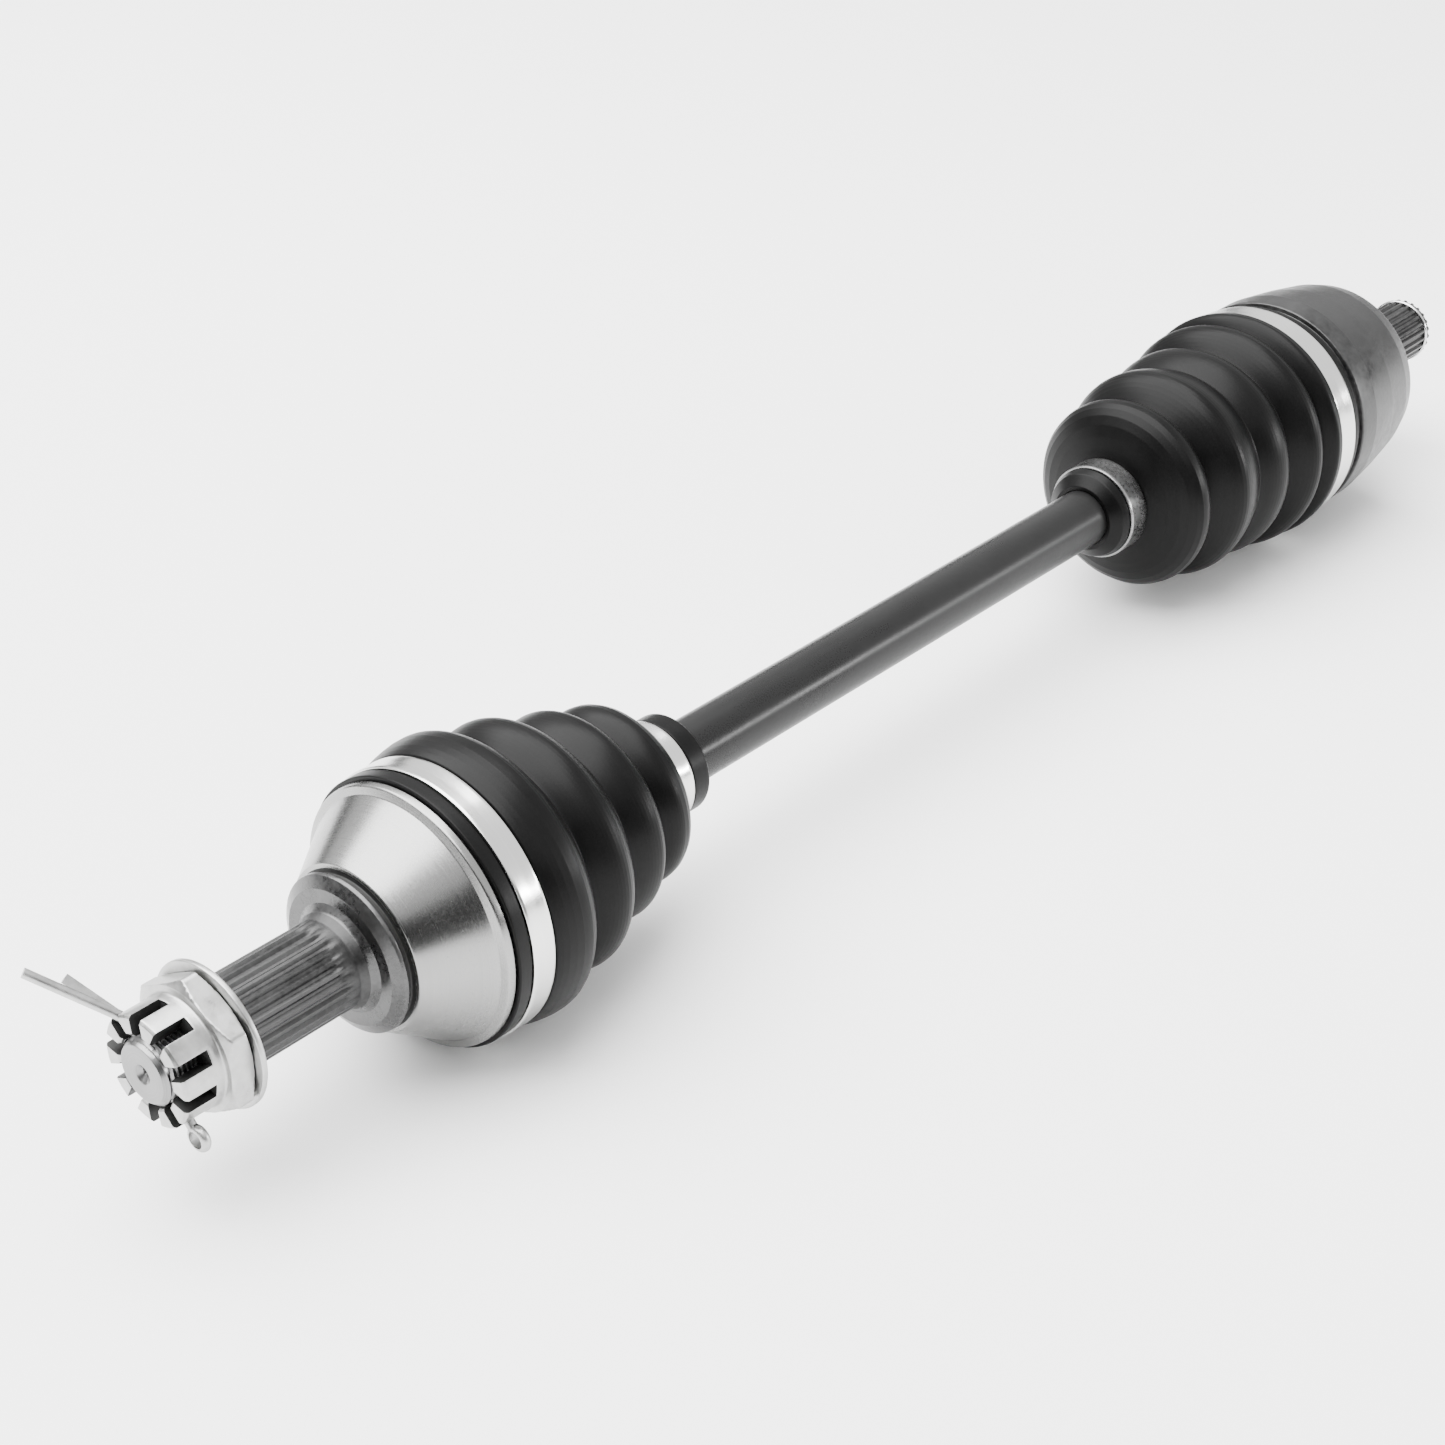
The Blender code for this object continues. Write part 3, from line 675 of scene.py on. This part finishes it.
def clip_path(path, low, high):
    """The stretch of a path, which runs from +X to -X, that lies between two stations."""
    kept = [path[0]] if low <= path[0][0] <= high else []
    for (x0, r0), (x1, r1) in zip(path, path[1:]):
        for limit in (high, low):
            if x1 < limit < x0:
                kept.append((limit, r0 + (r1 - r0) * (limit - x0) / (x1 - x0)))
        if low <= x1 <= high:
            kept.append((x1, r1))
    return kept


def folds(points):
    """A bellows outline through alternating crests and valleys: broad crests, narrow valleys."""
    path, steps = [], 9
    for (x0, r0), (x1, r1) in zip(points, points[1:]):
        falling = r0 > r1
        low, high = min(r0, r1), max(r0, r1)
        for i in range(steps):
            t = i / steps
            share = math.cos(math.pi / 2 * (t if falling else 1 - t))
            rounding = 0.6 if falling or i else 1.0
            path.append((x0 + (x1 - x0) * t, low + (high - low) * share, rounding))
    return path + [points[-1]]


def make_boot(side, node, centre, outer, inner, cuts):
    """A boot as closed sleeves, one for each stretch between two stations, cut in the valleys or on a crest.

    cuts: (low station, high station, a body, the next body, where the first one's hold ends,
    where the next one's begins); the bodies and the holds are not used.
    """
    outer_path = finely(rounded(outer, 8), 1.3)
    inner_path = finely(rounded(inner, 5), 2.5)
    for number, (low, high, first_body, next_body, start, end) in enumerate(cuts):
        outside = clip_path(outer_path, low, high)
        inside = clip_path(inner_path, low, high)
        ring_path = outside + inside[::-1]
        piece = lathe(f"{side}_boot_sleeve_{number + 1}", centre, ring_path, RUBBER, closed=True,
                      around=160, sharp=50)
        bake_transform(piece)
        if number == 0:
            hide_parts(node)


def make_boots():
    outboard_outer = [
        (105.0, 10.8), (105.0, 12.2, 0.4), (103.5, 16.4, 1.4), (96.7, 16.4, 0.4), (96.5, 15.5, 0.2),
        (87.0, 15.5, 0.5), (85.8, 19.6, 1.0), (84.8, 22.6, 1.0), (83.6, 25.2, 1.0), (82.3, 27.2, 1.0),
        (80.8, 28.6, 1.0), (79.0, 29.5, 1.0),
    ]
    outboard_outer += folds([(77.0, 29.8), (69.5, 26.4), (61.5, 34.5), (51.0, 31.4), (40.5, 40.9),
                             (30.0, 35.8), (19.5, 45.7)])
    outboard_outer += [
        (17.0, 45.65, 1.0), (14.5, 45.3, 1.0), (12.0, 44.8, 1.0), (10.0, 44.2, 1.0), (8.2, 43.5, 0.7),
        (7.8, 42.2, 0.2), (-1.1, 42.2, 0.2), (-1.3, 42.9, 0.3), (-5.8, 42.9, 0.5), (-5.8, 41.2),
    ]
    outboard_inner = [
        (105.0, 10.8), (85.0, 10.8, 0.8), (83.4, 19.8, 2.0), (80.2, 25.8, 2.0), (78.2, 27.3, 1.0),
        (75.6, 27.3, 1.0), (69.5, 24.0, 1.0), (62.8, 31.9, 1.5), (60.2, 31.9, 1.5), (51.0, 29.0, 1.0),
        (41.8, 38.3, 1.5), (39.2, 38.3, 1.5), (30.0, 33.7, 1.0), (21.2, 43.1, 2.0), (17.8, 43.1, 2.0),
        (8.8, 41.2, 0.5), (-5.8, 41.2),
    ]
    outboard_cuts = [
        (-5.8, 30.0, "wheel_end", "outboard_ball_b", 9.0, 30.0),
        (30.0, 51.0, "outboard_ball_b", "outboard_cage", 30.0, 51.0),
        (51.0, 69.5, "outboard_cage", "outboard_ball_a", 51.0, 69.5),
        (69.5, 105.0, "outboard_ball_a", "shaft", 69.5, 86.5),
    ]
    make_boot("outboard", "outboard_boot", OUTBOARD, outboard_outer, outboard_inner, outboard_cuts)
    inboard_outer = [
        (-19.4, 40.5), (-19.4, 43.2, 0.5), (-22.6, 43.2, 0.3), (-22.8, 42.6, 0.2), (-34.5, 42.6, 0.2),
        (-34.8, 45.1, 0.6),
    ]
    inboard_outer += folds([(-37.5, 45.4), (-42.5, 40.0), (-49.5, 44.3), (-59.5, 35.8), (-69.0, 41.1),
                            (-80.0, 36.4), (-93.0, 40.1), (-105.0, 29.0), (-114.5, 35.9)])
    inboard_outer += [
        (-116.6, 35.5, 1.0), (-118.6, 34.2, 1.0), (-120.5, 32.0, 1.0), (-122.2, 28.8, 1.0),
        (-123.6, 24.8, 1.0), (-124.9, 20.4, 1.0), (-126.2, 16.5, 0.8),
        (-136.4, 16.5, 0.2), (-136.6, 17.0, 0.3), (-139.5, 15.9, 1.0), (-142.5, 12.2, 0.4),
        (-142.5, 10.8),
    ]
    inboard_inner = [
        (-19.4, 40.5), (-35.6, 40.5, 0.8), (-38.0, 42.2, 1.0), (-42.5, 37.6, 0.8), (-48.0, 41.6, 1.5),
        (-51.0, 41.6, 1.5), (-59.5, 33.4, 1.0), (-67.4, 38.4, 1.5), (-70.6, 38.4, 1.5),
        (-80.0, 34.2, 3.0), (-90.4, 37.5, 3.0), (-95.2, 37.5, 3.0), (-105.0, 26.8, 1.0),
        (-111.3, 32.4, 1.5), (-115.7, 33.3, 2.5), (-119.9, 28.6, 3.0), (-122.6, 21.2, 3.0),
        (-124.4, 10.8, 0.8), (-142.5, 10.8),
    ]
    # Known fault: where a joint bends about both axes, the blend throws some sleeves out of place in nearly
    # half of the poses, at either joint. The third and fourth sleeves name the outer body first because the
    # two corner poses come out right that way; other poses are no better for it.
    inboard_cuts = [
        (-142.5, -105.0, "shaft", "inboard_ball_a", -124.5, -105.0),
        (-105.0, -80.0, "inboard_ball_a", "inboard_cage", -105.0, -80.0),
        (-80.0, -69.0, "inboard_ball_b", "inboard_cage", -69.0, -80.0),
        (-69.0, -59.5, "inboard_boot", "inboard_ball_b", -59.5, -69.0),
        (-59.5, -19.4, "inboard_boot", "gearbox_end", -59.5, -36.5),
    ]
    make_boot("inboard", "inboard_boot", INBOARD, inboard_outer, inboard_inner, inboard_cuts)


def make_cup():
    """Cup with straight tracks inside and a splined stub."""
    tip = 12.6
    outline = [
        (93.8, 0.0), (93.8, 3.0, 0.2), (93.8, tip - 1.5, 0.3), (92.3, tip, 0.3), (90.7, tip, 0.15),
        (90.6, 11.1, 0.2), (88.4, 11.1, 0.2), (88.3, tip, 0.15), (46.0, tip, 0.8), (43.0, tip + 0.5, 2.0),
        (40.0, 16.8, 0.8), (35.4, 17.2, 1.2), (35.4, 33.0, 0.8), (34.0, 35.9, 1.2), (26.0, 38.4, 2.0),
        (10.0, 41.2, 8.0), (-6.0, 43.3, 2.0), (-16.0, 43.3, 0.6), (-16.3, 41.4, 0.3), (-18.9, 41.4, 0.2),
        (-19.1, 40.2, 0.1), (-34.0, 40.2, 0.6), (-34.0, 31.5, 0.5), (-29.5, 28.0, 0.6), (-27.2, 28.0),
        (-27.2, 29.8), (-25.4, 29.8), (-25.4, 28.0), (30.0, 28.0, 1.5), (30.0, 0.0),
    ]
    path = finely(rounded(outline, 5), 2.5)
    teeth = spline_teeth(24, tip, 1.1, 48.5, 93.8, 0.1)

    def shape(x, angle, radius):
        if radius > tip + 0.05 or radius < 11.0 or x < 45:
            return radius
        full = teeth(x, angle, radius)
        return radius + (full - radius) * smooth((x - 46.0) / 3.0)

    cup = lathe("inboard_cup_fine", INBOARD, path, CUP_STEEL, around=192, shape=shape)
    tracks = []
    for k in range(BALLS):
        direction = outward(2 * math.pi * k / BALLS) * BALL_CIRCLE["inboard"]
        ends = [INBOARD + (Vector((x, 0, 0)) + direction) * MM for x in (-38.0, 26.0)]
        tracks.append(tube_along("track", ends, TRACK_RADIUS["inboard"], 32))
    cut(cup, tracks)
    shade(cup, 32)
    stand_for(cup, "inboard_cup", "gearbox_end")


def make_balls():
    for side, centre in CENTRES.items():
        for k in range(BALLS):
            body = {0: f"{side}_ball_a", 3: f"{side}_ball_b"}.get(k, f"{side}_cage")
            work = bmesh.new()
            radius = BALL_RADIUS[side] * MM
            bmesh.ops.create_uvsphere(work, u_segments=40, v_segments=24, radius=radius)
            mesh = bpy.data.meshes.new("ball")
            work.to_mesh(mesh)
            work.free()
            mesh.materials.append(BEARING)
            away = outward(2 * math.pi * k / BALLS) * BALL_CIRCLE[side] * MM
            mesh.transform(Matrix.Translation(centre + away))
            ball = bpy.data.objects.new(f"{side}_ball_{k + 1}_fine", mesh)
            bpy.context.scene.collection.objects.link(ball)
            shade(ball, 60)
            stand_for(ball, f"{side}_ball_{k + 1}", body)


def make_races_and_cages():
    """Inner races with six tracks, and cages with six windows."""
    race_reach, cage_reach, bore = 10.5, 11.0, 9.7  # half the lengths, and the race's bore
    rows = (("outboard", 20.0, (20.8, 25.2)), ("inboard", 21.4, (22.1, 27.4)))
    for side, race_radius, (inner, outer) in rows:
        centre, circle, ball = CENTRES[side], BALL_CIRCLE[side], BALL_RADIUS[side]
        edge = math.degrees(math.asin(race_reach / race_radius))
        ring = arc(race_radius, edge - 2, -edge + 2, 14)
        outline = [(race_reach, bore), (race_reach, ring[0][1] - 0.5)] + ring
        outline += [(-race_reach, ring[-1][1] - 0.5), (-race_reach, bore)]
        race = lathe(f"{side}_inner_race_fine", centre, finely(outline, 2.0), BEARING, closed=True)
        tracks = []
        for k in range(BALLS):
            direction = outward(2 * math.pi * k / BALLS)
            if side == "outboard":
                line = arc(circle, -60, 60, 20)
            else:
                line = [(-16.0, circle), (16.0, circle)]
            points = [centre + (Vector((x, 0, 0)) + direction * r) * MM for x, r in line]
            tracks.append(tube_along("track", points, TRACK_RADIUS[side], 28))
        cut(race, tracks)
        shade(race, 32)
        stand_for(race, f"{side}_inner_race", "shaft")
        out_edge = math.degrees(math.asin(cage_reach / outer))
        in_edge = math.degrees(math.asin(cage_reach / inner))
        outline = arc(outer, out_edge, -out_edge, 12) + arc(inner, -in_edge, in_edge, 12)
        cage = lathe(f"{side}_cage_fine", centre, outline, BEARING, closed=True)
        windows = []
        for k in range(BALLS // 2):
            place = Matrix.Translation(centre) @ Matrix.Rotation(2 * math.pi * k / BALLS, 4, "X")
            window = block("window", (2 * ball + 0.3, 90.0, 2 * ball + 3.2), place)
            edge_round_block(window, 2.4)
            windows.append(window)
        cut(cage, windows)
        shade(cage, 32)
        stand_for(cage, f"{side}_cage", f"{side}_cage")


def edge_round_block(obj, width):
    """Rounds a window cutter's long edges, which run outward through the cage."""
    work = bmesh.new()
    work.from_mesh(obj.data)
    edges = [e for e in work.edges if abs((e.verts[0].co - e.verts[1].co).normalized().y) > 0.9]
    bmesh.ops.bevel(work, geom=edges, offset=width * MM, segments=5, profile=0.5, affect="EDGES")
    work.to_mesh(obj.data)
    work.free()


def make_clips():
    """Round-wire spring rings, each with a short break."""
    rows = (
        ("outboard_race_circlip", "shaft", OUTBOARD, -11.6, 9.6, 0.75, math.pi / 2),
        ("inboard_race_circlip", "shaft", INBOARD, 11.6, 9.6, 0.75, math.pi / 2),
        ("stop_ring", "gearbox_end", INBOARD, -26.3, 28.35, 0.6, -math.pi / 2),
        ("stub_circlip", "gearbox_end", INBOARD, 89.5, 12.3, 0.75, -math.pi / 2),
    )
    for node, body, centre, station, radius, wire, gap_angle in rows:
        half_gap = 2.0 / radius
        count = 120
        points = []
        for i in range(count + 1):
            a = gap_angle + half_gap + (2 * math.pi - 2 * half_gap) * i / count
            points.append(centre + (Vector((station, 0, 0)) + outward(a) * radius) * MM)
        ring = tube_along(f"{node}_fine", points, wire, 16, BEARING)
        stand_for(ring, node, body)


# ---------------------------------------------------------------- stage


def make_stage():
    """A pale floor under the boots."""
    low = CAD_BOX[0].z - 0.0007  # just clear of the boots, which are finer than the CAD's
    bpy.ops.mesh.primitive_plane_add(size=60.0, location=(0, 0, low))
    floor = bpy.context.object
    floor.name = "floor"
    n = Nodes("floor_paper", 0.0, 0.8, specular=0.2)
    haze = n.noise(1.3, 2.0, 0.5)
    n.finish(n.colours(haze, [(0.3, (0.90, 0.90, 0.90)), (0.7, (0.93, 0.93, 0.93))]))
    floor.data.materials.append(n.material)


def make_world():
    """A studio: pale overhead and dark near the horizon, which reaches higher beyond the wheel end."""
    world = bpy.data.worlds.new("studio")
    bpy.context.scene.world = world
    world.use_nodes = True
    tree = world.node_tree
    background = tree.nodes["Background"]
    place = tree.nodes.new("ShaderNodeTexCoord")
    parts = tree.nodes.new("ShaderNodeSeparateXYZ")
    tree.links.new(place.outputs["Generated"], parts.inputs[0])
    towards = tree.nodes.new("ShaderNodeVectorMath")  # how far a direction points over the wheel end
    towards.operation = "DOT_PRODUCT"
    towards.inputs[1].default_value = (-0.77, -0.64, 0)
    tree.links.new(place.outputs["Generated"], towards.inputs[0])
    rise = tree.nodes.new("ShaderNodeMath")
    rise.operation = "MULTIPLY"
    rise.use_clamp = True
    rise.inputs[1].default_value = 0.45
    tree.links.new(towards.outputs["Value"], rise.inputs[0])
    height = tree.nodes.new("ShaderNodeMath")
    height.operation = "SUBTRACT"
    tree.links.new(parts.outputs[2], height.inputs[0])
    tree.links.new(rise.outputs[0], height.inputs[1])
    ramp = tree.nodes.new("ShaderNodeValToRGB")
    stops = [(0.0, 0.04), (0.14, 0.05), (0.24, 1.0), (0.5, 1.0), (1.0, 1.0)]  # height, brightness
    while len(ramp.color_ramp.elements) < len(stops):
        ramp.color_ramp.elements.new(0.5)
    for element, (position, value) in zip(ramp.color_ramp.elements, stops):
        element.position = position
        element.color = (value, value, value, 1)
    tree.links.new(height.outputs[0], ramp.inputs[0])
    tree.links.new(ramp.outputs["Color"], background.inputs["Color"])
    background.inputs["Strength"].default_value = 1.7


def area_light(name, place, target, size, power):
    data = bpy.data.lights.new(name, "AREA")
    data.shape = "RECTANGLE"
    data.size, data.size_y = size
    data.energy = power
    light = bpy.data.objects.new(name, data)
    bpy.context.scene.collection.objects.link(light)
    light.location = place
    light.rotation_euler = (Vector(target) - Vector(place)).to_track_quat("-Z", "Y").to_euler()


def make_lights():
    area_light("top_softbox", (-0.45, 0.55, 1.8), (-0.1, 0, 0), (2.6, 2.6), 240)
    area_light("side_softbox", (1.209, -1.547, 0.382), (0, 0, 0), (0.85, 0.15), 26)


def make_camera():
    """The photograph's viewpoint: in front of the wheel end, above it and to one side."""
    tilt = math.radians(30.638)  # how steeply the axle rises across the picture
    off = math.radians(49.95)  # between the axle and the line of sight
    depth, aside, datum = 0.7785, -0.0917, -0.214  # metres: back from the axle, along it, and from where
    right_x = math.sin(off) * math.cos(tilt)
    up_x = math.sin(off) * math.sin(tilt)
    right = Vector((right_x, -math.sqrt(1 - right_x**2), 0))
    up_y = -right.x * up_x / right.y
    up = Vector((up_x, up_y, math.sqrt(1 - up_x**2 - up_y**2)))
    back = right.cross(up)
    along = right * math.cos(tilt) + up * math.sin(tilt)
    place = Vector((datum, 0, 0)) - along * aside + back * depth
    data = bpy.data.cameras.new("camera")
    data.sensor_width = 36.0
    data.lens = 67.2664
    data.shift_y = 0.00588
    data.clip_start, data.clip_end = 0.05, 100.0
    camera = bpy.data.objects.new("camera", data)
    bpy.context.scene.collection.objects.link(camera)
    camera.matrix_world = Matrix.Translation(place) @ Matrix((right, up, back)).transposed().to_4x4()
    bpy.context.scene.camera = camera


make_camera()
make_world()
make_lights()
make_stage()
make_shaft()
make_bell()
make_nut()
make_washer()
make_cotter_pin()
make_boots()
make_clamps()
make_cup()
make_balls()
make_races_and_cages()
make_clips()
